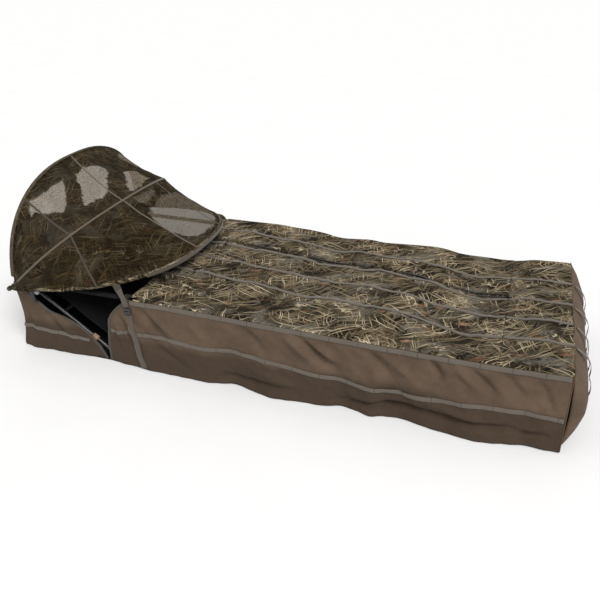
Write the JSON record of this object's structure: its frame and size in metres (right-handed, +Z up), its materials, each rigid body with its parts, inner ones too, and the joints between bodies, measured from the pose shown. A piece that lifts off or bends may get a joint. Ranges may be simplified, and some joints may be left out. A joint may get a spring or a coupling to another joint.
{
  "type": "layout field blind",
  "caption": "Low camouflaged ground blind on a folding steel frame, with a fold-back mesh hood, two top doors, side arm openings and garnish webbing.",
  "frame": {"origin": "centre of the floor panel's underside, on the ground", "axes": "+X towards the foot end, -X the hood end, +Z up, -Y the near side with the wide door"},
  "size_m": [2.247, 1.04, 0.7094],
  "materials": {
    "black_steel": "satin powder coat",
    "bow_rod": "fibreglass rod",
    "bright_steel": "zinc plated",
    "moulded_black": "moulded",
    "brown_fabric": "coated polyester canvas",
    "camo_fabric": null,
    "hood_mesh": "printed mesh",
    "webbing": "woven webbing",
    "black_fabric": "coated polyester"
  },
  "bodies": {
    "root": {"floor_panel": "black_fabric", "base_rails": "black_steel", "base_cross_tubes": "black_steel", "base_elbows": "moulded_black", "base_tees": "moulded_black", "seat_mat": "black_fabric", "near_head_wall": "brown_fabric", "far_head_wall": "brown_fabric", "near_body_wall": "brown_fabric", "far_body_wall": "brown_fabric", "head_end_wall": "brown_fabric", "foot_end_wall": "brown_fabric", "near_side_straps": "webbing", "far_side_straps": "webbing", "foot_panel_straps": "webbing", "near_strap_lower": "webbing", "far_strap_lower": "webbing"},
    "top_frame": {"top_rails": "black_steel", "side_rails": "black_steel", "top_cross_tubes": "black_steel", "top_elbows": "moulded_black", "knee_risers": "moulded_black", "knee_hoop": "black_steel", "rail_clamps": "moulded_black", "strut_pins": "bright_steel", "hinge_hems": "camo_fabric", "foot_cover": "camo_fabric", "foot_cover_straps": "webbing", "lever_brackets": "moulded_black", "hood_brackets": "moulded_black", "hood_pivot_bolts": "bright_steel", "back_hoop": "bow_rod", "hood_back_panel": "hood_mesh", "hood_rear_section": "hood_mesh"},
    "head_strut_set": {"head_struts": "black_steel", "head_bars": "black_steel", "back_sling": "black_fabric", "headrest_pad": "black_fabric", "bar_clips": "moulded_black"},
    "knee_strut_set": {"knee_struts": "black_steel", "knee_bar": "black_steel"},
    "foot_strut_set": {"foot_struts": "black_steel", "foot_bar": "black_steel"},
    "hood_mid": {"mid_bow": "bow_rod", "hood_front_section": "camo_fabric"},
    "hood_rim": {"rim_bow": "bow_rod", "near_strap_upper": "webbing", "far_strap_upper": "webbing", "strap_buckles": "moulded_black"},
    "near_door": {"near_door_panel": "camo_fabric", "near_neck_flap": "camo_fabric", "near_door_rod": "bow_rod", "near_door_straps": "webbing"},
    "far_door": {"far_door_panel": "camo_fabric", "far_neck_flap": "camo_fabric", "far_door_rod": "bow_rod", "far_door_straps": "webbing"},
    "near_lever": {"near_lock_lever": "moulded_black"},
    "far_lever": {"far_lock_lever": "moulded_black"}
  },
  "joints": [
    {"name": "frame_fold", "type": "slide", "parent": "root", "child": "top_frame", "axis": [0, 0, -1], "range_m": [0, 0.14], "deforming": ["near_head_wall", "far_head_wall", "near_body_wall", "far_body_wall", "head_end_wall", "foot_end_wall", "near_side_straps", "far_side_straps", "foot_panel_straps", "near_strap_lower", "far_strap_lower"]},
    {"name": "head_strut_turn", "type": "hinge", "parent": "top_frame", "child": "head_strut_set", "pos_m": [-0.975, 0, 0.262], "axis": [0, -1, 0], "range_deg": [0, 23.7]},
    {"name": "knee_strut_turn", "type": "hinge", "parent": "top_frame", "child": "knee_strut_set", "pos_m": [0.2, 0, 0.183], "axis": [0, -1, 0], "range_deg": [0, 30.4]},
    {"name": "foot_strut_turn", "type": "hinge", "parent": "top_frame", "child": "foot_strut_set", "pos_m": [1.02, 0, 0.183], "axis": [0, 1, 0], "range_deg": [0, 31.5]},
    {"name": "hood_fold", "type": "hinge", "parent": "top_frame", "child": "hood_mid", "pos_m": [-1.06, 0, 0.292], "axis": [0, -1, 0], "range_deg": [0, 40], "deforming": ["hood_rear_section"]},
    {"name": "hood_rim_fold", "type": "hinge", "parent": "hood_mid", "child": "hood_rim", "pos_m": [-1.06, 0, 0.292], "axis": [0, -1, 0], "range_deg": [0, 28.1], "deforming": ["hood_front_section"]},
    {"name": "near_door_hinge", "type": "hinge", "parent": "top_frame", "child": "near_door", "pos_m": [0, -0.449, 0.3005], "axis": [1, 0, 0], "range_deg": [0, 170], "deforming": ["near_neck_flap"]},
    {"name": "far_door_hinge", "type": "hinge", "parent": "top_frame", "child": "far_door", "pos_m": [0, 0.449, 0.3005], "axis": [-1, 0, 0], "range_deg": [0, 170], "deforming": ["far_neck_flap"]},
    {"name": "near_lever_turn", "type": "hinge", "parent": "top_frame", "child": "near_lever", "pos_m": [-0.994, -0.4715, 0.276], "axis": [0, -1, 0], "range_deg": [0, 80]},
    {"name": "far_lever_turn", "type": "hinge", "parent": "top_frame", "child": "far_lever", "pos_m": [-0.994, 0.4715, 0.276], "axis": [0, -1, 0], "range_deg": [0, 80]}
  ],
  "couplings": [
    {"joint": "head_strut_turn", "follows": "frame_fold", "rad_per_m": 2.9371},
    {"joint": "knee_strut_turn", "follows": "frame_fold", "rad_per_m": 3.779},
    {"joint": "foot_strut_turn", "follows": "frame_fold", "rad_per_m": 3.9134},
    {"joint": "hood_rim_fold", "follows": "hood_fold", "ratio": 0.7}
  ]
}
